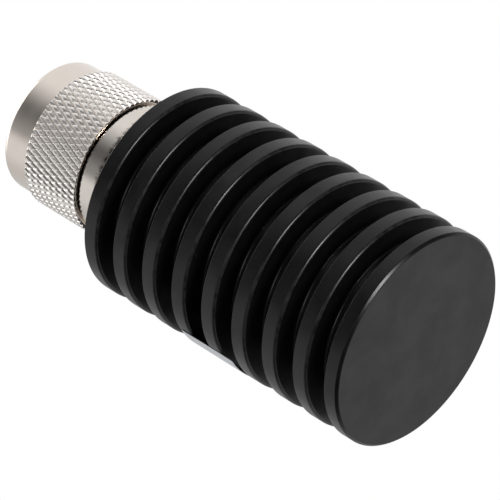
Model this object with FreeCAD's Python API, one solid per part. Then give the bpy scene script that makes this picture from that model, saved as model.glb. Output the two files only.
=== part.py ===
import FreeCAD, Part
import math
import os

# Coaxial terminator: a finned heat sink with a screw-on coaxial plug and a flange resistor inside.
# Millimetres. It stands on its flat end disc, with Z along the common axis towards the plug's mouth.

# Finned heat sink, one turned piece
disc_diameter = 30.0
core_wall = 2.0
fin_count = 8
fin_thickness = 2.5
groove_width = 2.87
end_disc_thickness = 2.4
rim_chamfer = 0.25
end_rim_chamfer = 0.33
groove_root_fillet = 0.3
socket_side_room = 1.5
socket_floor_room = 3.1
socket_chamfer = 0.4

# Plug shell, screwed into the heat sink
collar_diameter = 19.0
collar_height = 6.85
collar_edge_round = 0.35
spigot_length = 7.0
spigot_chamfer = 0.5
barrel_length = 2.8
barrel_chamfer = 0.2
line_bore_diameter = 7.05
contact_seat_step = 1.475
contact_seat_depth = 5.0
retainer_seat_step = 1.475
retainer_lip = 0.525
retainer_thickness = 1.5

# Coupling nut with a diamond knurl
nut_length = 14.45
nut_gap = 0.15
nut_wall = 2.05
nut_front_round = 0.8
nut_web_thickness = 2.6
nut_ledge = 0.77
nut_mouth_relief = 0.6
nut_mouth_depth = 1.2
nut_float = 0.35
knurl_rise = 0.6
knurl_depth = 0.35
knurl_length = 9.55
knurl_starts = 65
knurl_rows = 8
knurl_bevel_height = 0.4
knurl_bevel_step = 0.1

# Snap ring that holds the nut on the shell
ring_thickness = 0.8
ring_groove_wall = 0.75
ring_groove_depth = 0.85
ring_reach = 0.5
ring_gap = 3.0
ring_setback = 0.95

# Line through the plug
sleeve_wall = 0.525
sleeve_reach = 10.0
sleeve_root_step = 0.25
sleeve_root_length = 1.35
sleeve_tip_round = 0.2
sleeve_slot_count = 4
sleeve_slot_width = 0.5
sleeve_slot_length = 6.0
gasket_setback = 0.2
gasket_thickness = 1.2
gasket_round = 0.3
pin_diameter = 1.65
pin_shoulder_setback = 5.3
pin_lead = 0.3
rod_diameter = 3.04
rod_waist_diameter = 2.4
tail_diameter = 1.5
tail_length = 4.2
bead_length = 3.0
front_bead_setback = 1.2

# Resistor on its carrier
flange_width = 13.0
flange_length = 6.0
flange_thickness = 1.5
flange_hole_margin = 1.5
chip_size = 5.6
chip_thickness = 1.0
lid_width = 5.0
lid_length = 3.7
lid_thickness = 0.9
tab_width = 1.2
tab_thickness = 0.15
tab_length = 4.6
tab_overlap = 1.5
tab_solder_length = 1.7
screw_diameter = 1.6
screw_head_diameter = 3.0
screw_head_height = 1.6
screw_head_round = 0.4
screw_grip = 2.2
screw_socket_width = 1.5
screw_socket_depth = 0.8
washer_diameter = 3.0
washer_thickness = 0.4
washer_gap = 0.4

# Foil label across two fins
label_length = 9.75
label_sweep = 53.0
label_middle_angle = 171.0
label_thickness = 0.1

# Clearances
thread_clearance = 0.02
seat_clearance = 0.01
carrier_clearance = 0.05
nut_clearance = 0.08
ring_side_clearance = 0.05
gasket_clearance = 0.07
tail_slot_clearance = 0.06
screw_end_clearance = 0.2
screw_side_clearance = 0.15

# Radii that follow from one another, outwards from the resistor and from the line's bore
socket_radius = flange_width / 2 + socket_side_room
core_radius = socket_radius + core_wall
line_radius = line_bore_diameter / 2
sleeve_radius = line_radius + sleeve_wall
sleeve_root_radius = sleeve_radius + sleeve_root_step
retainer_seat_radius = line_radius + retainer_seat_step
contact_seat_radius = line_radius + contact_seat_step
ring_groove_radius = contact_seat_radius + ring_groove_wall
ring_inner_radius = ring_groove_radius + ring_side_clearance
barrel_radius = ring_groove_radius + ring_groove_depth
ring_outer_radius = barrel_radius + ring_reach
nut_bore_radius = barrel_radius + nut_clearance
thread_radius = nut_bore_radius + nut_ledge
neck_radius = thread_radius + nut_wall
knurl_radius = neck_radius + knurl_rise

# Heights that several pieces share
fin_pitch = fin_thickness + groove_width
sink_height = end_disc_thickness + fin_count * fin_pitch
spigot_end = sink_height - spigot_length
collar_top = sink_height + collar_height
barrel_top = collar_top + barrel_length
contact_seat_floor = barrel_top - contact_seat_depth
sleeve_end = barrel_top + sleeve_reach
nut_base = collar_top + nut_gap
ring_base = nut_base + ring_setback
rear_bead_base = spigot_end + retainer_thickness
front_bead_base = barrel_top - front_bead_setback - bead_length
pin_shoulder = sleeve_end - pin_shoulder_setback
tail_top = rear_bead_base
tail_end = tail_top - tail_length

# Resistor stack, measured from the axis towards -Y
chip_face = -tab_thickness / 2
flange_face = chip_face - chip_thickness
carrier_face = flange_face - flange_thickness
tab_end = tail_end + tab_overlap
tab_start = tab_end - tab_length
chip_top = tab_start + tab_solder_length
resistor_middle = chip_top - chip_size / 2
socket_floor = resistor_middle - flange_length / 2 - socket_floor_room
screw_offset = flange_width / 2 - flange_hole_margin

up = FreeCAD.Vector(0, 0, 1)
centre = FreeCAD.Vector(0, 0, 0)


def outline(corners, closed=True):
    """Edges through (radius, height) corners in the XZ plane; a third value rounds the corner."""
    points = [FreeCAD.Vector(corner[0], 0, corner[1]) for corner in corners]
    bends = []
    for index, corner in enumerate(corners):
        here = points[index]
        if len(corner) < 3:
            bends.append((here, None, here))
            continue
        back = (points[index - 1] - here).normalize()
        onward = (points[(index + 1) % len(points)] - here).normalize()
        half_angle = back.getAngle(onward) / 2
        inward = (back + onward).normalize()
        run = corner[2] / math.tan(half_angle)
        crown = here + inward * (corner[2] / math.sin(half_angle) - corner[2])
        bends.append((here + back * run, crown, here + onward * run))
    edges = []
    for index, (start, crown, end) in enumerate(bends):
        if crown:
            edges.append(Part.Arc(start, crown, end).toShape())
        if index + 1 < len(bends) or closed:
            edges.append(Part.makeLine(end, bends[(index + 1) % len(bends)][0]))
    return edges


def turned(corners):
    """Solid turned about Z from a closed outline."""
    return Part.Face(Part.Wire(outline(corners))).revolve(centre, up, 360)


def ring(inner_radius, outer_radius, base, height):
    """Plain ring about Z."""
    top = base + height
    return turned([(inner_radius, base), (outer_radius, base), (outer_radius, top), (inner_radius, top)])


def block(width, depth, height, x, y, z):
    """Box centred on x, with its low corner at y and z."""
    return Part.makeBox(width, depth, height, FreeCAD.Vector(x - width / 2, y, z))


def heat_sink():
    """Round bar with turned fins, a closed end disc and a blind socket for the plug."""
    rim = disc_diameter / 2
    core = core_radius
    socket = socket_radius
    corners = [(0, 0), (rim - end_rim_chamfer, 0), (rim, end_rim_chamfer)]
    corners += [(rim, end_disc_thickness - rim_chamfer), (rim - rim_chamfer, end_disc_thickness)]
    for fin in range(fin_count):
        low = end_disc_thickness + fin * fin_pitch
        base = low + groove_width
        top = base + fin_thickness
        corners += [(core, low, groove_root_fillet), (core, base, groove_root_fillet)]
        corners += [(rim - rim_chamfer, base), (rim, base + rim_chamfer)]
        corners += [(rim, top - rim_chamfer), (rim - rim_chamfer, top)]
    corners += [(socket + socket_chamfer, sink_height), (socket, sink_height - socket_chamfer)]
    corners += [(socket, socket_floor), (0, socket_floor)]
    return turned(corners)


def connector_shell():
    """Threaded spigot, polished collar and the short barrel that carries the nut."""
    spigot = socket_radius - thread_clearance
    collar = collar_diameter / 2
    barrel = barrel_radius
    groove = ring_groove_radius
    groove_base = ring_base - ring_side_clearance
    groove_top = ring_base + ring_thickness + nut_float + ring_side_clearance
    line = line_radius
    contact_seat = contact_seat_radius
    retainer_seat = retainer_seat_radius
    return turned([
        (retainer_seat, spigot_end),
        (spigot - spigot_chamfer, spigot_end),
        (spigot, spigot_end + spigot_chamfer),
        (spigot, sink_height),
        (collar, sink_height),
        (collar, collar_top, collar_edge_round),
        (barrel, collar_top),
        (barrel, groove_base),
        (groove, groove_base),
        (groove, groove_top),
        (barrel, groove_top),
        (barrel, barrel_top - barrel_chamfer),
        (barrel - barrel_chamfer, barrel_top),
        (contact_seat, barrel_top),
        (contact_seat, contact_seat_floor),
        (line, contact_seat_floor),
        (line, rear_bead_base),
        (retainer_seat, rear_bead_base),
    ])


def outer_contact():
    """Slotted sleeve that plugs into the socket's outer conductor."""
    bore = line_radius
    seat = contact_seat_radius - seat_clearance
    root = sleeve_root_radius
    sleeve = sleeve_radius
    root_top = barrel_top + sleeve_root_length
    body = turned([
        (bore, contact_seat_floor),
        (seat, contact_seat_floor),
        (seat, barrel_top),
        (root, barrel_top),
        (root, root_top),
        (sleeve, root_top),
        (sleeve, sleeve_end, sleeve_tip_round),
        (bore, sleeve_end, sleeve_tip_round),
    ])
    for index in range(sleeve_slot_count // 2):
        slot = block(sleeve_slot_width, sleeve * 4, sleeve_slot_length,
                     0, -sleeve * 2, sleeve_end - sleeve_slot_length)
        slot.rotate(centre, up, (index + 0.5) * 360 / sleeve_slot_count)
        body = body.cut(slot)
    return body


def facet(first, second, third):
    """Flat triangle between three points."""
    return Part.Face(Part.makePolygon([first, second, third, first]))


def knurl_faces(base):
    """Pyramids of a diamond knurl and the bevel at their front, with the rims where the band ends."""
    valley = knurl_radius - knurl_depth
    step = 2 * math.pi / knurl_starts
    row_height = knurl_length / knurl_rows

    def point(radius, row, place):
        angle = place * step
        return FreeCAD.Vector(radius * math.cos(angle), radius * math.sin(angle), base + row * row_height)

    faces = []
    rims = []
    for row in range(knurl_rows + 1):
        shift = (row % 2) / 2
        rim = []
        for start in range(knurl_starts):
            left = point(valley, row, start + shift)
            right = point(valley, row, start + 1 + shift)
            tip = point(knurl_radius, row, start + 0.5 + shift)
            rim += [left, tip]
            if row > 0:
                low = point(valley, row - 1, start + 0.5 + shift)
                faces += [facet(tip, left, low), facet(tip, low, right)]
            if row < knurl_rows:
                high = point(valley, row + 1, start + 0.5 + shift)
                faces += [facet(tip, right, high), facet(tip, high, left)]
        rims.append(rim + rim[:1])

    front_row = knurl_rows + knurl_bevel_height / row_height
    front_rim = [point(neck_radius + knurl_bevel_step, front_row, index / 2 + shift)
                 for index in range(2 * knurl_starts)]
    front_rim += front_rim[:1]
    for index in range(2 * knurl_starts):
        low, next_low = rims[-1][index:index + 2]
        high, next_high = front_rim[index:index + 2]
        faces += [facet(low, next_low, high), facet(next_low, next_high, high)]
    return faces, Part.makePolygon(rims[0]), Part.makePolygon(front_rim)


def cap(rim, hole_radius, height):
    """Flat face inside a serrated rim, with a round hole."""
    hole = Part.Wire(Part.makeCircle(hole_radius, FreeCAD.Vector(0, 0, height)))
    return Part.Face(rim).cut(Part.Face(hole))


def coupling_nut():
    """Nut with a knurled band, a smooth neck at its mouth and a web that runs on the barrel."""
    neck = neck_radius
    bore = nut_bore_radius
    groove = ring_outer_radius + ring_side_clearance
    groove_base = ring_base - ring_side_clearance
    groove_top = ring_base + ring_thickness + ring_side_clearance
    web_top = nut_base + nut_web_thickness
    thread = thread_radius
    mouth = thread + nut_mouth_relief
    nut_top = nut_base + nut_length
    bevel_top = nut_base + knurl_length + knurl_bevel_height
    faces, rear_rim, front_rim = knurl_faces(nut_base)
    inside = outline([
        (neck, bevel_top),
        (neck, nut_top, nut_front_round),
        (mouth, nut_top),
        (mouth, nut_top - nut_mouth_depth),
        (thread, nut_top - nut_mouth_depth - (mouth - thread)),
        (thread, web_top),
        (bore, web_top),
        (bore, groove_top),
        (groove, groove_top),
        (groove, groove_base),
        (bore, groove_base),
        (bore, nut_base),
    ], closed=False)
    faces += [edge.revolve(centre, up, 360) for edge in inside]
    faces += [cap(rear_rim, bore, nut_base), cap(front_rim, neck, bevel_top)]
    skin = Part.makeCompound(faces)
    skin.sewShape()
    return Part.makeSolid(skin)


def snap_ring():
    """Split ring that sits half in the shell's groove and half in the nut's."""
    body = ring(ring_inner_radius, ring_outer_radius, ring_base, ring_thickness)
    return body.cut(block(ring_gap, ring_outer_radius, ring_thickness, 0, 0, ring_base))


def face_gasket():
    """Rubber ring that the socket's face closes on."""
    inner = sleeve_root_radius + gasket_clearance
    outer = barrel_radius - gasket_setback
    top = barrel_top + gasket_thickness
    corners = [(inner, barrel_top), (outer, barrel_top), (outer, top, gasket_round), (inner, top, gasket_round)]
    return turned(corners)


def bead(base):
    """Insulating bead clipped round the rod's waist."""
    return ring(rod_waist_diameter / 2 + seat_clearance, line_radius - seat_clearance, base, bead_length)


def insulator_retainer():
    """Ring pressed into the spigot's end, behind the rear bead."""
    outer = retainer_seat_radius - seat_clearance
    return ring(line_radius - retainer_lip, outer, spigot_end, retainer_thickness)


def centre_pin():
    """Inner conductor: contact pin, thick rod with two waists, and a slotted tail for the tab."""
    pin = pin_diameter / 2
    rod = rod_diameter / 2
    waist = rod_waist_diameter / 2
    tail = tail_diameter / 2
    rear_top = rear_bead_base + bead_length
    front_top = front_bead_base + bead_length
    pin_end = sleeve_end + pin_lead
    body = turned([
        (0, tail_end),
        (tail, tail_end),
        (tail, tail_top),
        (waist, tail_top),
        (waist, rear_top),
        (rod, rear_top),
        (rod, front_bead_base),
        (waist, front_bead_base),
        (waist, front_top),
        (rod, front_top),
        (rod, pin_shoulder),
        (pin, pin_shoulder),
        (pin, pin_end, pin * 0.7),
        (0, pin_end),
    ])
    slot_width = tab_thickness + 2 * tail_slot_clearance
    slot = block(tail_diameter * 2, slot_width, tab_overlap + tail_slot_clearance, 0, -slot_width / 2, tail_end)
    return body.cut(slot)


def carrier_block():
    """Half-round block that backs the resistor's flange and carries its heat to the socket's wall."""
    radius = socket_radius - carrier_clearance
    height = spigot_end - carrier_clearance - socket_floor
    body = Part.makeCylinder(radius, height, FreeCAD.Vector(0, 0, socket_floor))
    body = body.cut(block(radius * 3, radius * 2, height * 2, 0, carrier_face, socket_floor - height / 2))
    for side in (-1, 1):
        place = FreeCAD.Vector(side * screw_offset, carrier_face, resistor_middle)
        hole = Part.makeCylinder(screw_diameter / 2 + thread_clearance, screw_grip + screw_end_clearance,
                                 place, FreeCAD.Vector(0, -1, 0))
        body = body.cut(hole)
    return body


def resistor_flange():
    """Copper flange with two screw holes."""
    body = block(flange_width, flange_thickness, flange_length, 0, carrier_face,
                 resistor_middle - flange_length / 2)
    radius = screw_diameter / 2 + screw_side_clearance
    for side in (-1, 1):
        place = FreeCAD.Vector(side * screw_offset, carrier_face, resistor_middle)
        body = body.cut(Part.makeCylinder(radius, flange_thickness, place, FreeCAD.Vector(0, 1, 0)))
    return body


def resistor_chip():
    """Ceramic plate with the film resistor."""
    return block(chip_size, chip_thickness, chip_size, 0, flange_face, resistor_middle - chip_size / 2)


def resistor_lid():
    """Ceramic cover over the film, short of the strip where the tab is soldered."""
    return block(lid_width, lid_thickness, lid_length, 0, chip_face, tab_start - seat_clearance - lid_length)


def tab_lead():
    """Thin tab from the chip into the slot of the pin's tail."""
    return block(tab_width, tab_thickness, tab_length, 0, chip_face, tab_start)


def on_flange(shape, side):
    """Turn a piece from +Z to +Y and set it over one of the flange's holes."""
    shape.rotate(centre, FreeCAD.Vector(1, 0, 0), -90)
    shape.translate(FreeCAD.Vector(side * screw_offset, flange_face, resistor_middle))
    return shape


def spring_washer(side):
    """Split washer under a screw's head."""
    body = ring(screw_diameter / 2 + screw_side_clearance, washer_diameter / 2, 0, washer_thickness)
    body = body.cut(block(washer_gap, washer_diameter, washer_thickness, 0, 0, 0))
    return on_flange(body, side)


def flange_screw(side):
    """Socket-head screw through the flange into the carrier."""
    shank = screw_diameter / 2
    head = screw_head_diameter / 2
    top = washer_thickness + screw_head_height
    body = turned([
        (0, -flange_thickness - screw_grip),
        (shank, -flange_thickness - screw_grip),
        (shank, washer_thickness),
        (head, washer_thickness),
        (head, top, screw_head_round),
        (0, top),
    ])
    corner = screw_socket_width / math.sqrt(3)
    turns = [math.radians(60 * index) for index in range(7)]
    rim = [FreeCAD.Vector(corner * math.cos(turn), corner * math.sin(turn), top) for turn in turns]
    socket = Part.Face(Part.makePolygon(rim)).extrude(FreeCAD.Vector(0, 0, -screw_socket_depth))
    return on_flange(body.cut(socket), side)


def label():
    """Foil label laid over the rims of the fifth and sixth discs from the flat end."""
    inner = disc_diameter / 2 + seat_clearance
    top = end_disc_thickness + 5 * fin_pitch
    profile = [(inner, top - label_length), (inner + label_thickness, top - label_length)]
    profile += [(inner + label_thickness, top), (inner, top)]
    sheet = Part.Face(Part.Wire(outline(profile))).revolve(centre, up, label_sweep)
    sheet.rotate(centre, up, label_middle_angle - label_sweep / 2)
    return sheet


pieces = {
    "heat_sink": heat_sink(),
    "connector_shell": connector_shell(),
    "outer_contact": outer_contact(),
    "coupling_nut": coupling_nut(),
    "snap_ring": snap_ring(),
    "face_gasket": face_gasket(),
    "front_insulator": bead(front_bead_base),
    "rear_insulator": bead(rear_bead_base),
    "insulator_retainer": insulator_retainer(),
    "centre_pin": centre_pin(),
    "carrier_block": carrier_block(),
    "resistor_flange": resistor_flange(),
    "resistor_chip": resistor_chip(),
    "resistor_lid": resistor_lid(),
    "tab_lead": tab_lead(),
    "flange_screw_left": flange_screw(-1),
    "flange_screw_right": flange_screw(1),
    "spring_washer_left": spring_washer(-1),
    "spring_washer_right": spring_washer(1),
    "label": label(),
}

os.makedirs("parts", exist_ok=True)
for name, shape in pieces.items():
    shape.exportStep("parts/" + name + ".step")
    print(name, shape.isValid(), len(shape.Solids), round(shape.Volume, 2), len(shape.Faces))
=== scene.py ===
import math

import bmesh
import bpy
import numpy as np
from mathutils import Matrix, Vector


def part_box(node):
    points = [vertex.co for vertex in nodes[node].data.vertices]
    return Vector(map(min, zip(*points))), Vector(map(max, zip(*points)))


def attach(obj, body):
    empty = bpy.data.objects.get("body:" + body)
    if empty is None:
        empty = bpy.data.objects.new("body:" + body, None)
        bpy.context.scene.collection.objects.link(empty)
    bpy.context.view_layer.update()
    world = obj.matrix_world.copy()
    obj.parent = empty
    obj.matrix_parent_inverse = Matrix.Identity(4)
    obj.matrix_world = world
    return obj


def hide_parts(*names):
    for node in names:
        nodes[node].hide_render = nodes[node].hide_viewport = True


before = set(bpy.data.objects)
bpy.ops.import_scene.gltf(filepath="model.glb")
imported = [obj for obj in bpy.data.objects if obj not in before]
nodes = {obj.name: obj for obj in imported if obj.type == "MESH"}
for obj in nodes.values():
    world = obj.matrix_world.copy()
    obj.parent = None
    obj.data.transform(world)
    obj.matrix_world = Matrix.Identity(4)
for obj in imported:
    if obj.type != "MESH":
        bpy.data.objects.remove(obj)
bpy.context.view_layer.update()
scene = bpy.context.scene
scene.view_settings.view_transform = "Standard"

MM = 0.001

# The photograph's view: the part lies with its flat end towards the camera
camera_aim = Vector((-0.00101, 0.0, 0.02889))
camera_distance = 0.46514
camera_elevation = -33.58
camera_azimuth = 0.15
camera_roll = -59.15
camera_lens = 257.13
camera_sensor = 36.0

# Heat sink, in millimetres
fin_count = 8
fin_thickness = 2.5
groove_width = 2.87
end_disc_thickness = 2.4
disc_radius = 15.0
# The floor of the grooves. The solid's grooves are deeper, with their floor at 10.0
core_radius = 11.6
socket_radius = 8.0
socket_depth = 20.0
socket_edge_round = 0.1
rim_chamfer = 0.25
end_rim_chamfer = 0.33
edge_round = 0.05
near_edge_round = 0.4
end_edge_round = 0.15
root_round = 0.3
sink_sides = 240

# How far extra rings lie from the ends of a straight stretch, and the shortest stretch that gets them
support_margin = 0.04
support_least = 8 * support_margin
# Degrees turned by each step of a rounded corner
round_step = 18

# Coupling nut, in millimetres above its rear face
nut_length = 14.45
knurl_length = 9.55
knurl_starts = 65
knurl_rows = 8
knurl_steps = 8
knurl_radius = 10.1
deep_groove = 0.32
deep_share = 0.28
shallow_groove = 0.22
shallow_share = 0.22
deep_crown = 0.12
shallow_crown = 0.1
knurl_twist = 0.24
bevel_height = 0.4
neck_radius = 9.5
neck_round = 0.8
mouth_radius = 8.05
mouth_depth = 1.2
mouth_edge_round = 0.1
thread_radius = 7.45
thread_root_radius = 7.98
thread_pitch = 25.4 / 24
thread_turns = 8
thread_above_web = 0.5
# Where the crest ends and where the root starts and ends, as shares of one pitch
crest_end = 0.25
root_start = 0.5625
root_end = 0.6875
web_thickness = 2.6
web_bore_radius = 6.68
ring_groove_radius = 7.15
ring_groove_base = 0.9
ring_groove_height = 0.9
rear_chamfer = 0.15
web_chamfer = 0.1

# Foil label, in millimetres and degrees round the axis
label_sweep = 53.0
label_middle = 171.0
label_thickness = 0.06
label_clearance = 0.01
label_wave = 0.019
# How far the foil ends short of its place's top edge
label_top_gap = 0.6
# Share of the half width at which the foil starts to lift, and the share left beyond it
label_lift_start = 0.93
label_lift_width = 0.07

# Height in metres that the lamps point at
lamp_aim_height = 0.033


class Graph:
    """A small helper that adds and joins the nodes of one material or world."""

    def __init__(self, tree):
        self.tree = tree

    def add(self, kind, inputs=(), **settings):
        """Add a node, set its properties and fill its inputs with values or with other nodes' outputs."""
        made = self.tree.nodes.new(kind)
        for name, value in settings.items():
            setattr(made, name, value)
        for name, value in dict(inputs).items():
            if isinstance(value, bpy.types.NodeSocket):
                self.tree.links.new(value, made.inputs[name])
            else:
                made.inputs[name].default_value = value
        return made

    def math(self, operation, first, second=0.0, third=0.0):
        """One Math node's result."""
        made = self.add("ShaderNodeMath", {0: first, 1: second, 2: third}, operation=operation)
        return made.outputs[0]

    def ramp(self, value, low, high, out_low=0.0, out_high=1.0):
        """Value carried smoothly from low..high to out_low..out_high."""
        made = self.add("ShaderNodeMapRange", {0: value, 1: low, 2: high, 3: out_low, 4: out_high},
                        interpolation_type="SMOOTHSTEP")
        return made.outputs[0]

    def noise(self, place, scale, detail=2.0, roughness=0.5):
        """Noise from 0 to 1 at a place."""
        made = self.add("ShaderNodeTexNoise", {"Vector": place, "Scale": scale, "Detail": detail,
                                               "Roughness": roughness})
        return made.outputs["Fac"]

    def mix(self, share, first, second):
        """Colour between first and second."""
        made = self.add("ShaderNodeMix", data_type="RGBA")
        for name, value in ((0, share), (6, first), (7, second)):
            if isinstance(value, bpy.types.NodeSocket):
                self.tree.links.new(value, made.inputs[name])
            else:
                made.inputs[name].default_value = value
        return made.outputs[2]

    def point(self):
        """The point in the part's own frame, in millimetres."""
        metres = self.add("ShaderNodeTexCoord").outputs["Object"]
        return self.add("ShaderNodeVectorMath", {0: metres, "Scale": 1 / MM}, operation="SCALE").outputs[0]

    def about_axis(self, point):
        """A point's radius, its angle in turns and its height."""
        x, y, z = self.add("ShaderNodeSeparateXYZ", {0: point}).outputs
        radius = self.math("SQRT", self.math("ADD", self.math("MULTIPLY", x, x), self.math("MULTIPLY", y, y)))
        angle = self.math("DIVIDE", self.math("ARCTAN2", y, x), 2 * math.pi)
        return radius, angle, z

    def joined(self, x, y, z):
        """Vector from three values."""
        return self.add("ShaderNodeCombineXYZ", {0: x, 1: y, 2: z}).outputs[0]


def new_material(name, color, metallic, roughness, **sockets):
    """A material with its shader's plain values set, and the graph to build on."""
    made = bpy.data.materials.new(name)
    made.use_nodes = True
    shader = made.node_tree.nodes["Principled BSDF"]
    shader.inputs["Base Color"].default_value = (*color, 1)
    shader.inputs["Metallic"].default_value = metallic
    shader.inputs["Roughness"].default_value = roughness
    for socket, value in sockets.items():
        shader.inputs[socket].default_value = value
    return made, Graph(made.node_tree), shader


def bump(graph, shader, height, distance_mm, strength):
    """Relief from a height of 0 to 1."""
    made = graph.add("ShaderNodeBump", {"Strength": strength, "Distance": distance_mm * MM, "Height": height})
    graph.tree.links.new(made.outputs[0], shader.inputs["Normal"])


def black_anodised():
    """Satin black anodised aluminium, clouded and finely specked, a little paler on the fins' near edges as
    wear and a painted highlight.
    """
    made, graph, shader = new_material("black_anodised", (0.004, 0.004, 0.0042), 0.0, 0.36,
                                       **{"IOR": 1.5, "Specular IOR Level": 0.27})
    point = graph.point()
    radius, _, z = graph.about_axis(point)
    normal = graph.add("ShaderNodeTexCoord").outputs["Normal"]
    facing = graph.add("ShaderNodeSeparateXYZ", {0: normal}).outputs[2]
    cloud = graph.noise(point, 0.16, 4.0, 0.6)
    patch = graph.noise(point, 0.5, 3.0)
    specks = graph.ramp(graph.noise(point, 2.6, 1.0), 0.78, 0.82)

    # wear and painted highlight: the rounded edge that faces the flat end is paler in broken patches, partly
    # edge wear and partly a painted highlight standing in for its glints
    rubbed_glint = graph.math("MULTIPLY", graph.ramp(facing, -0.35, -0.1, 1.0, 0.0),
                        graph.ramp(facing, -0.99, -0.93))
    rubbed_glint = graph.math("MULTIPLY", rubbed_glint, graph.ramp(radius, disc_radius - 0.5, disc_radius - 0.4))
    rubbed_glint = graph.math("MULTIPLY", rubbed_glint, graph.ramp(z, 1.0, 1.5))
    rubbed_glint = graph.math("MULTIPLY", rubbed_glint, graph.ramp(graph.noise(point, 0.9, 4.0, 0.7), 0.36, 0.58))

    deep_black = (0.0012, 0.0012, 0.0013, 1)
    pale_black = (0.0026, 0.0026, 0.0028, 1)
    speck_grey = (0.12, 0.12, 0.12, 1)
    # paler edge colour, partly wear and partly a painted highlight
    rubbed_glint_black = (0.009, 0.009, 0.0095, 1)
    plain = graph.mix(patch, deep_black, pale_black)
    plain = graph.mix(graph.math("MULTIPLY", specks, 0.2), plain, speck_grey)
    graph.tree.links.new(graph.mix(rubbed_glint, plain, rubbed_glint_black), shader.inputs["Base Color"])
    # faces turned to the flat end's side reflect a little less than the rims
    shine = graph.math("MULTIPLY", graph.ramp(cloud, 0.3, 0.7, 0.215, 0.305),
                       graph.ramp(facing, -1.0, -0.97, 0.88, 1.0))
    # the fillets at the foot of the fins reflect more than the rest
    foot = graph.math("MULTIPLY", graph.ramp(radius, core_radius + 0.4, core_radius + 0.7, 1.0, 0.0),
                      graph.ramp(graph.math("ABSOLUTE", facing), 0.95, 0.99, 1.0, 0.0))
    shine = graph.math("MULTIPLY", shine, graph.math("MULTIPLY_ADD", foot, 2.4, 1.0))
    graph.tree.links.new(shine, shader.inputs["Specular IOR Level"])
    graph.tree.links.new(graph.ramp(patch, 0.2, 0.8, 0.28, 0.35), shader.inputs["Roughness"])
    bump(graph, shader, graph.noise(point, 9.0, 2.0), distance_mm=0.004, strength=0.5)
    return made


def nickel(name, roughness, marks_mm):
    """Warm bright nickel plate with fine turning marks round the axis."""
    made, graph, shader = new_material(name, (0.71, 0.65, 0.595), 1.0, roughness)
    point = graph.point()
    radius, angle, z = graph.about_axis(point)
    cloud = graph.noise(point, 0.5, 3.0)
    color = graph.mix(cloud, (0.685, 0.622, 0.565, 1), (0.745, 0.682, 0.622, 1))
    graph.tree.links.new(color, shader.inputs["Base Color"])
    lines = graph.noise(graph.joined(radius, graph.math("MULTIPLY", angle, 3.0), z), 7.0, 3.0, 0.65)
    rough = graph.math("ADD", graph.math("MULTIPLY", cloud, 0.08), roughness - 0.04)
    graph.tree.links.new(rough, shader.inputs["Roughness"])
    bump(graph, shader, lines, distance_mm=marks_mm, strength=0.6)
    return made


def knurled_nickel():
    """Nickel over the rolled knurl, rougher than the turned surfaces and painted paler, as painted light that
    makes the knurl read brighter.
    """
    made, graph, shader = new_material("knurled_nickel", (0.76, 0.72, 0.69), 1.0, 0.31)
    point = graph.point()
    cloud = graph.noise(point, 2.2, 3.0)
    # painted light: paler than the turned nickel, so that the knurl renders brighter
    color = graph.mix(cloud, (0.79, 0.748, 0.712, 1), (0.86, 0.82, 0.79, 1))
    graph.tree.links.new(color, shader.inputs["Base Color"])
    rough = graph.math("ADD", graph.math("MULTIPLY", cloud, 0.12), 0.25)
    graph.tree.links.new(rough, shader.inputs["Roughness"])
    bump(graph, shader, graph.noise(point, 6.0, 3.0, 0.6), distance_mm=0.012, strength=0.6)
    return made


def polished_collar():
    """Polished nickel, darker, browner and rougher in a ragged band part of the way round, darkest at its
    jagged front edge.
    """
    made, graph, shader = new_material("polished_collar", (0.66, 0.61, 0.565), 1.0, 0.14)
    point = graph.point()
    radius, angle, z = graph.about_axis(point)
    cloud = graph.noise(point, 0.8, 3.0)
    color = graph.mix(cloud, (0.64, 0.59, 0.545, 1), (0.7, 0.655, 0.61, 1))
    # angle is 0 on the +X side and -0.25 on the side that faces the photograph's camera
    ragged = graph.noise(graph.joined(graph.math("MULTIPLY", angle, 140.0), 0.0, z), 0.9, 4.0, 0.75)
    height = graph.math("ADD", z, graph.math("MULTIPLY", graph.math("SUBTRACT", ragged, 0.5), 2.2))
    near_fin = graph.math("MULTIPLY", graph.ramp(height, 49.2, 50.0, 1.0, 0.0),
                          graph.ramp(height, 46.2, 49.4, 0.06, 1.0))
    along = graph.math("MULTIPLY", graph.ramp(angle, -0.34, -0.29),
                       graph.ramp(angle, -0.18, -0.1, 1.0, 0.0))
    # a darker, browner and rougher band near the fin, only on the side turned to the camera
    dark_band = graph.math("MULTIPLY", near_fin, along)
    dark_band_brown = (0.03, 0.018, 0.012, 1)
    color = graph.mix(dark_band, color, dark_band_brown)
    graph.tree.links.new(color, shader.inputs["Base Color"])
    graph.tree.links.new(graph.ramp(dark_band, 0.0, 1.0, 0.14, 0.45), shader.inputs["Roughness"])
    lines = graph.noise(graph.joined(radius, graph.math("MULTIPLY", angle, 3.0), z), 6.0, 3.0)
    bump(graph, shader, lines, distance_mm=0.003, strength=0.5)
    return made


def plain_metal(name, color, roughness):
    """Turned or rolled metal of one colour, with fine marks round the axis."""
    made, graph, shader = new_material(name, color, 1.0, roughness)
    point = graph.point()
    radius, angle, z = graph.about_axis(point)
    cloud = graph.noise(point, 1.2, 3.0)
    darker = tuple(0.86 * part for part in color)
    tone = graph.mix(cloud, (*darker, 1), (*color, 1))
    graph.tree.links.new(tone, shader.inputs["Base Color"])
    rough = graph.math("ADD", graph.math("MULTIPLY", cloud, 0.1), roughness - 0.05)
    graph.tree.links.new(rough, shader.inputs["Roughness"])
    lines = graph.noise(graph.joined(radius, graph.math("MULTIPLY", angle, 3.0), z), 9.0, 3.0)
    bump(graph, shader, lines, distance_mm=0.003, strength=0.5)
    return made


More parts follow.
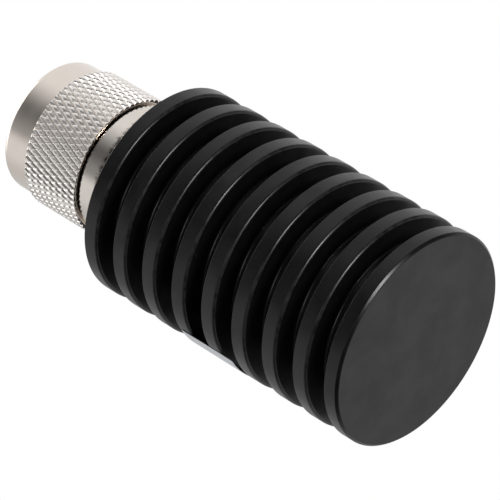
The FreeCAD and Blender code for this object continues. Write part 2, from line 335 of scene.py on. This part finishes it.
def matt(name, color, roughness):
    """Plastic, rubber or ceramic with a fine grain and faint clouds."""
    made, graph, shader = new_material(name, color, 0.0, roughness)
    point = graph.point()
    cloud = graph.noise(point, 1.5, 3.0)
    darker = tuple(0.8 * part for part in color)
    graph.tree.links.new(graph.mix(cloud, (*darker, 1), (*color, 1)), shader.inputs["Base Color"])
    bump(graph, shader, graph.noise(point, 14.0, 2.0), distance_mm=0.004, strength=0.6)
    return made


def foil():
    """Blank brushed silver foil."""
    made, graph, shader = new_material("foil_label", (0.66, 0.68, 0.71), 0.85, 0.34)
    _, angle, z = graph.about_axis(graph.point())
    drawn_out = graph.joined(graph.math("MULTIPLY", angle, 14.0), 0.0, graph.math("MULTIPLY", z, 9.0))
    strokes = graph.noise(drawn_out, 1.6, 3.0)
    tone = graph.mix(strokes, (0.6, 0.62, 0.655, 1), (0.7, 0.72, 0.75, 1))
    graph.tree.links.new(tone, shader.inputs["Base Color"])
    bump(graph, shader, strokes, distance_mm=0.003, strength=0.5)
    return made


def finished(name, vertices, faces, smooth_angle=25.0):
    """Object from vertices in millimetres, closed, outward facing and smooth up to an angle."""
    mesh = bpy.data.meshes.new(name)
    mesh.from_pydata([tuple(MM * value for value in vertex) for vertex in vertices], [], faces)
    shaped = bmesh.new()
    shaped.from_mesh(mesh)
    bmesh.ops.recalc_face_normals(shaped, faces=shaped.faces)
    shaped.to_mesh(mesh)
    shaped.free()
    mesh.shade_smooth()
    mesh.set_sharp_from_angle(angle=math.radians(smooth_angle))
    piece = bpy.data.objects.new(name, mesh)
    scene.collection.objects.link(piece)
    return piece


class Skin:
    """Vertices and faces of a piece that is grown ring by ring about Z, in millimetres."""

    def __init__(self, count):
        self.count = count
        self.turns = np.arange(count) / count
        self.vertices = []
        self.faces = []

    def ring(self, radius, z, turns=None):
        """Add one ring of vertices and return their numbers."""
        turns = self.turns if turns is None else turns
        angle = 2 * np.pi * turns
        first = len(self.vertices)
        x = np.broadcast_to(radius, angle.shape) * np.cos(angle)
        y = np.broadcast_to(radius, angle.shape) * np.sin(angle)
        self.vertices += list(zip(x, y, np.broadcast_to(z, angle.shape)))
        return list(range(first, first + self.count))

    def bridge(self, low, high):
        """Join two rings with quads."""
        for here in range(self.count):
            after = (here + 1) % self.count
            self.faces.append((low[here], low[after], high[after], high[here]))

    def lathe(self, start, corners):
        """Carry on from a ring through (radius, z) corners, and return the last ring."""
        for radius, z in corners:
            after = self.ring(radius, z)
            self.bridge(start, after)
            start = after
        return start


def rounded(corners):
    """Corners (radius, z, round) turned into points, with each round drawn as a short arc."""
    points = []
    for index, (radius, z, size) in enumerate(corners):
        here = Vector((radius, z))
        if not size:
            points.append((radius, z))
            continue
        back = (Vector(corners[index - 1][:2]) - here).normalized()
        onward = (Vector(corners[(index + 1) % len(corners)][:2]) - here).normalized()
        half = back.angle(onward) / 2
        middle = here + (back + onward).normalized() * size / math.sin(half)
        start = here + back * size / math.tan(half)
        end = here + onward * size / math.tan(half)
        steps = max(2, round((math.pi - 2 * half) / math.radians(round_step)))
        for step in range(steps + 1):
            point = middle + size * (start - middle).slerp(end - middle, step / steps).normalized()
            points.append((point.x, point.y))
    return points


def supported(points):
    """Points with two more in each long straight stretch, near its ends, which keep its shading flat."""
    held = [points[0]]
    for here, after in zip(points, points[1:]):
        start = Vector(here)
        stretch = Vector(after) - start
        if stretch.length > support_least:
            for share in (support_margin / stretch.length, 1 - support_margin / stretch.length):
                held.append(tuple(start + stretch * share))
        held.append(after)
    return held


def heat_sink():
    """Turned heat sink, its grooves filleted, its fins rounded at the near edge and chamfered at the far."""
    top = end_disc_thickness + fin_count * (fin_thickness + groove_width)
    socket_floor = top - socket_depth
    corners = [(core_radius, 0, 0), (disc_radius - end_rim_chamfer, 0, end_edge_round),
               (disc_radius, end_rim_chamfer, end_edge_round)]
    corners += [(disc_radius, end_disc_thickness - rim_chamfer, edge_round),
                (disc_radius - rim_chamfer, end_disc_thickness, edge_round)]
    for fin in range(fin_count):
        low = end_disc_thickness + fin * (fin_thickness + groove_width)
        base = low + groove_width
        rim = base + fin_thickness
        corners += [(core_radius, low, root_round), (core_radius, base, root_round),
                    (disc_radius, base, near_edge_round)]
        corners += [(disc_radius, rim - rim_chamfer, edge_round),
                    (disc_radius - rim_chamfer, rim, edge_round)]
    corners += [(socket_radius, top, socket_edge_round), (socket_radius, socket_floor, 0)]
    profile = supported(rounded(corners))

    skin = Skin(sink_sides)
    first = skin.ring(*profile[0])
    last = skin.lathe(first, profile[1:])
    skin.faces.append(tuple(reversed(first)))
    skin.faces.append(tuple(last))
    piece = finished("turned_heat_sink", skin.vertices, skin.faces)
    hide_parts("heat_sink")
    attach(piece, "load_body")
    return piece


def knurl(skin, base):
    """Diamond knurl on its own lattice, so that every crease of both groove families falls on an edge."""
    def groove(phase, share):
        reach = np.abs(phase - np.round(phase))
        return np.clip(1 - reach / share, 0, 1)

    rows = []
    total = knurl_rows * knurl_steps
    for row in range(total + 1):
        turns = skin.turns + (row % 2) / 2 / skin.count
        across = turns * knurl_starts
        turns = turns - knurl_twist * row / total / knurl_starts
        along = row / (2 * knurl_steps)
        cut = np.maximum(deep_groove * groove(across - along, deep_share),
                         shallow_groove * groove(across + along, shallow_share))
        cut = np.maximum(cut, deep_crown * groove(across - along, 0.5))
        cut = np.maximum(cut, shallow_crown * groove(across + along, 0.5))
        rows.append(skin.ring(knurl_radius - cut, base + knurl_length * row / total, turns))

    def number(row, place):
        return rows[row][place % skin.count]

    for row in range(total + 1):
        shift = row % 2
        for place in range(skin.count):
            left = number(row, place)
            right = number(row, place + 1)
            between = place + shift
            if row == 0:
                skin.faces.append((left, right, number(1, place)))
            elif row == total:
                skin.faces.append((right, left, number(row - 1, between)))
            else:
                skin.faces.append((left, number(row - 1, between), right, number(row + 1, between)))
    return rows[0], rows[-1]


def thread(skin, start, base):
    """Internal thread from the ring at its base upwards, with its crests at the bore's radius."""
    shares = [(0.0, thread_radius), (crest_end, thread_radius), (root_start, thread_root_radius),
              (root_end, thread_root_radius)]
    count = skin.count
    steps = thread_turns * count
    columns = []
    for step in range(steps + count + 1):
        angle = 2 * math.pi * step / count
        column = []
        if step <= steps:
            for share, radius in shares:
                z = base + thread_pitch * (step / count + share)
                column.append(len(skin.vertices))
                skin.vertices.append((radius * math.cos(angle), radius * math.sin(angle), z))
        else:
            z = base + thread_pitch * step / count
            column.append(len(skin.vertices))
            skin.vertices.append((thread_radius * math.cos(angle), thread_radius * math.sin(angle), z))
        columns.append(column)
    for step in range(steps):
        for part in range(len(shares) - 1):
            skin.faces.append((columns[step][part], columns[step + 1][part],
                               columns[step + 1][part + 1], columns[step][part + 1]))
        skin.faces.append((columns[step][-1], columns[step + 1][-1],
                           columns[step + 1 + count][0], columns[step + count][0]))
    skin.faces.append(tuple(columns[0]) + (columns[count][0],))
    skin.faces.append(tuple(reversed(columns[steps])) + (columns[steps + count][0],))
    for here in range(count):
        after = here + 1
        low = start[here], start[after % count]
        skin.faces.append((low[0], low[1], columns[after][0], columns[here][0]))
    skin.faces.append((start[0], columns[0][0], columns[count][0]))
    return columns, steps


def coupling_nut():
    """Nut with a cut diamond knurl of two unequal groove families, a satin neck and an internal thread."""
    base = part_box("coupling_nut")[0].z / MM
    top = base + nut_length
    skin = Skin(knurl_starts * knurl_steps)
    rear, front = knurl(skin, base)

    # outside, from the knurl's front to the mouth
    bevel_top = base + knurl_length + bevel_height
    outside = rounded([(neck_radius, bevel_top, 0), (neck_radius, top, neck_round),
                       (mouth_radius, top, mouth_edge_round),
                       (mouth_radius, top - mouth_depth, mouth_edge_round),
                       (thread_radius, top - mouth_depth - mouth_radius + thread_radius, 0)])
    mouth_end = skin.lathe(front, supported(outside))

    # inside, from the knurl's rear face through the web
    inside = [(web_bore_radius + rear_chamfer, base), (web_bore_radius, base + rear_chamfer),
              (web_bore_radius, base + ring_groove_base), (ring_groove_radius, base + ring_groove_base),
              (ring_groove_radius, base + ring_groove_base + ring_groove_height),
              (web_bore_radius, base + ring_groove_base + ring_groove_height),
              (web_bore_radius, base + web_thickness - web_chamfer),
              (web_bore_radius + web_chamfer, base + web_thickness),
              (thread_radius, base + web_thickness)]
    thread_base = base + web_thickness + thread_above_web
    web_end = skin.lathe(rear, inside)
    columns, steps = thread(skin, web_end, thread_base)
    for here in range(skin.count):
        after = here + 1
        skin.faces.append((columns[steps + here][0], columns[steps + after][0],
                           mouth_end[after % skin.count], mouth_end[here]))
    skin.faces.append((columns[steps][0], mouth_end[0], columns[steps + skin.count][0]))

    piece = finished("knurled_nut", skin.vertices, skin.faces, smooth_angle=18.0)
    paint(piece, nickel("satin_nickel", roughness=0.22, marks_mm=0.004))
    piece.data.materials.append(knurled_nickel())
    piece.data.materials.append(nickel("polished_rear_face", roughness=0.09, marks_mm=0.002))
    # the slots of the two materials added after the satin one
    knurled = 1
    polished = 2
    for face in piece.data.polygons:
        middle = face.center / MM
        if face.normal.z < -0.9 and middle.z < base + 0.1:
            face.material_index = polished
        elif math.hypot(middle.x, middle.y) > neck_radius and middle.z < base + knurl_length:
            face.material_index = knurled
    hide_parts("coupling_nut")
    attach(piece, "nut")
    return piece


def label():
    """Blank foil label, flat across the groove, with slightly lifted edges."""
    low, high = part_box("label")
    sweep = math.radians(label_sweep)
    middle = math.radians(label_middle)
    columns = 72
    rows = 28
    inner = disc_radius + label_clearance
    vertices = []
    for side in (0, 1):
        for row in range(rows + 1):
            for column in range(columns + 1):
                share = column / columns
                climb = row / rows
                angle = middle + (share - 0.5) * sweep
                edge = max(0.0, abs(share - 0.5) * 2 - label_lift_start) / label_lift_width
                wave = label_wave * (1 + math.sin(9 * share + 5 * climb)) * (0.3 + 0.7 * edge)
                radius = inner + side * label_thickness + wave
                z = (low.z + (high.z - low.z) * climb) / MM - label_top_gap * climb
                vertices.append((radius * math.cos(angle), radius * math.sin(angle), z))
    faces = []
    across = columns + 1
    layer = across * (rows + 1)

    def number(side, row, column):
        return side * layer + row * across + column

    for row in range(rows):
        for column in range(columns):
            for side in (0, 1):
                faces.append((number(side, row, column), number(side, row, column + 1),
                              number(side, row + 1, column + 1), number(side, row + 1, column)))
    for row in range(rows):
        for column in (0, columns):
            faces.append((number(0, row, column), number(0, row + 1, column),
                          number(1, row + 1, column), number(1, row, column)))
    for column in range(columns):
        for row in (0, rows):
            faces.append((number(0, row, column), number(0, row, column + 1),
                          number(1, row, column + 1), number(1, row, column)))
    piece = finished("foil_sheet", vertices, faces, smooth_angle=40.0)
    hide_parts("label")
    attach(piece, "load_body")
    return piece


def paint(piece, material):
    """Give a piece or CAD node one material."""
    piece.data.materials.clear()
    piece.data.materials.append(material)


def add_camera():
    """Camera at the photograph's viewing angle, below the part and rolled."""
    elevation = math.radians(camera_elevation)
    azimuth = math.radians(camera_azimuth)
    back = Vector((math.sin(azimuth) * math.cos(elevation), -math.cos(azimuth) * math.cos(elevation),
                   math.sin(elevation)))
    right = Vector((0, 0, 1)).cross(back).normalized()
    over = back.cross(right)
    roll = math.radians(camera_roll)
    across = right * math.cos(roll) + over * math.sin(roll)
    upward = back.cross(across)
    data = bpy.data.cameras.new("camera")
    data.lens = camera_lens
    data.sensor_width = camera_sensor
    data.clip_start = 0.01
    made = bpy.data.objects.new("camera", data)
    turn = Matrix((across, upward, back)).transposed().to_4x4()
    made.matrix_world = Matrix.Translation(camera_aim + back * camera_distance) @ turn
    scene.collection.objects.link(made)
    scene.camera = made


def add_world():
    """White surround that is dark, in reflections, on the side that the photograph was taken from."""
    world = bpy.data.worlds.new("studio")
    scene.world = world
    world.use_nodes = True
    graph = Graph(world.node_tree)
    background = world.node_tree.nodes["Background"]
    path = graph.add("ShaderNodeLightPath")
    seen = graph.math("MAXIMUM", path.outputs["Is Glossy Ray"], path.outputs["Is Transmission Ray"])
    direction = graph.add("ShaderNodeTexCoord").outputs["Generated"]
    x, y, z = graph.add("ShaderNodeSeparateXYZ", {0: direction}).outputs
    # degrees round the part's axis from the photographer's side, and degrees above the horizon
    around = graph.math("MULTIPLY", graph.math("ARCTAN2", x, graph.math("MULTIPLY", y, -1.0)), 180 / math.pi)
    height = graph.math("MULTIPLY", graph.math("ARCSINE", z), 180 / math.pi)
    upper_right = graph.ramp(around, 0.0, 60.0, 0.13, 1.0)
    upper_left = graph.math("ADD", graph.ramp(around, -58.0, -36.0, 0.55, 0.0),
                            graph.ramp(around, -36.0, 0.0, 0.33, 0.12))
    upper = graph.math("MAXIMUM", upper_right, upper_left)
    lower = graph.math("MAXIMUM", graph.ramp(around, 110.0, 140.0, 0.03, 1.0),
                       graph.ramp(around, -140.0, -110.0, 0.9, 0.03))
    room = graph.math("ADD", graph.math("MULTIPLY", upper, graph.ramp(height, -10.0, 30.0)),
                      graph.math("MULTIPLY", lower, graph.ramp(height, -10.0, 30.0, 1.0, 0.0)))
    open_sky = graph.math("MAXIMUM", graph.ramp(height, 38.0, 60.0), graph.ramp(height, -62.0, -80.0))
    # the far left is a little dimmer than the far right
    far_left = (-0.54, 0.64, 0.55)
    towards_left = graph.add("ShaderNodeVectorMath", {0: direction, 1: far_left}, operation="DOT_PRODUCT")
    dimmed = graph.ramp(towards_left.outputs["Value"], 0.7, 0.98, 1.0, 0.76)
    reflected = graph.math("MULTIPLY", graph.math("MAXIMUM", room, open_sky), dimmed)
    # matt surfaces are lit by an even grey, and the camera sees white
    even_grey = (0.55, 0.55, 0.55, 1)
    white = (1, 1, 1, 1)
    other = graph.mix(seen, even_grey, reflected)
    shown = graph.mix(path.outputs["Is Camera Ray"], other, white)
    world.node_tree.links.new(shown, background.inputs["Color"])
    background.inputs["Strength"].default_value = 1.0


def add_lamp(name, direction, distance, size, watts):
    """Soft square lamp that points at the part."""
    data = bpy.data.lights.new(name, "AREA")
    data.size = size
    data.energy = watts
    made = bpy.data.objects.new(name, data)
    middle = Vector((0, 0, lamp_aim_height))
    made.location = middle + direction.normalized() * distance
    made.rotation_euler = (middle - made.location).to_track_quat("-Z", "Y").to_euler()
    made.visible_camera = False
    scene.collection.objects.link(made)


def add_floor():
    """Pale floor under the standing part, seen only from above, and fading out."""
    mesh = bpy.data.meshes.new("floor")
    half = 0.5
    low = -0.00005
    mesh.from_pydata([(-half, -half, low), (half, -half, low), (half, half, low), (-half, half, low)], [],
                     [(0, 1, 2, 3)])
    floor = bpy.data.objects.new("floor", mesh)
    scene.collection.objects.link(floor)
    made, graph, shader = new_material("pale_floor", (0.86, 0.86, 0.86), 0.0, 0.7)
    radius = graph.about_axis(graph.point())[0]
    underside = graph.add("ShaderNodeNewGeometry").outputs["Backfacing"]
    fade = graph.ramp(radius, 120.0, 420.0)
    hidden = graph.math("MAXIMUM", underside, fade)
    clear = graph.add("ShaderNodeBsdfTransparent")
    blend = graph.add("ShaderNodeMixShader", {0: hidden, 1: shader.outputs[0], 2: clear.outputs[0]})
    graph.tree.links.new(blend.outputs[0], graph.tree.nodes["Material Output"].inputs["Surface"])
    mesh.materials.append(made)
    floor.visible_diffuse = False
    floor.visible_glossy = False
    floor.visible_transmission = False
    floor.visible_shadow = False


add_camera()
add_world()
add_lamp("key", Vector((0.08, -0.12, 0.95)), distance=0.7, size=0.35, watts=1.15)
add_lamp("fill", Vector((-0.4, -0.1, 0.9)), distance=0.7, size=0.35, watts=0.42)
# A strong lamp from below, for the bright lines on the fins' near edges
add_lamp("edge", Vector((0.345, -0.53, -0.775)), distance=0.6, size=0.2, watts=4.4)
add_lamp("side", Vector((-0.43, -0.9, -0.05)), distance=0.6, size=0.22, watts=0.28)
add_floor()

paint(heat_sink(), black_anodised())
coupling_nut()
paint(label(), foil())
paint(nodes["connector_shell"], polished_collar())
paint(nodes["outer_contact"], nickel("contact_nickel", roughness=0.22, marks_mm=0.003))
paint(nodes["insulator_retainer"], nickel("retainer_nickel", roughness=0.22, marks_mm=0.004))
paint(nodes["snap_ring"], plain_metal("spring_bronze", (0.72, 0.48, 0.28), 0.35))
paint(nodes["face_gasket"], matt("silicone_rubber", (0.42, 0.06, 0.03), 0.55))
white_ptfe = matt("white_ptfe", (0.86, 0.86, 0.84), 0.45)
paint(nodes["front_insulator"], white_ptfe)
paint(nodes["rear_insulator"], white_ptfe)
paint(nodes["centre_pin"], plain_metal("gold_plate", (0.92, 0.68, 0.3), 0.2))
paint(nodes["carrier_block"], plain_metal("bare_aluminium", (0.78, 0.79, 0.8), 0.35))
paint(nodes["resistor_flange"], plain_metal("copper_flange", (0.74, 0.66, 0.58), 0.3))
white_ceramic = matt("white_ceramic", (0.84, 0.84, 0.81), 0.5)
paint(nodes["resistor_chip"], white_ceramic)
paint(nodes["resistor_lid"], white_ceramic)
paint(nodes["tab_lead"], plain_metal("silver_tab", (0.84, 0.83, 0.8), 0.25))
steel = plain_metal("steel_screw", (0.6, 0.6, 0.61), 0.3)
for side in ("left", "right"):
    paint(nodes["flange_screw_" + side], steel)
    paint(nodes["spring_washer_" + side], steel)
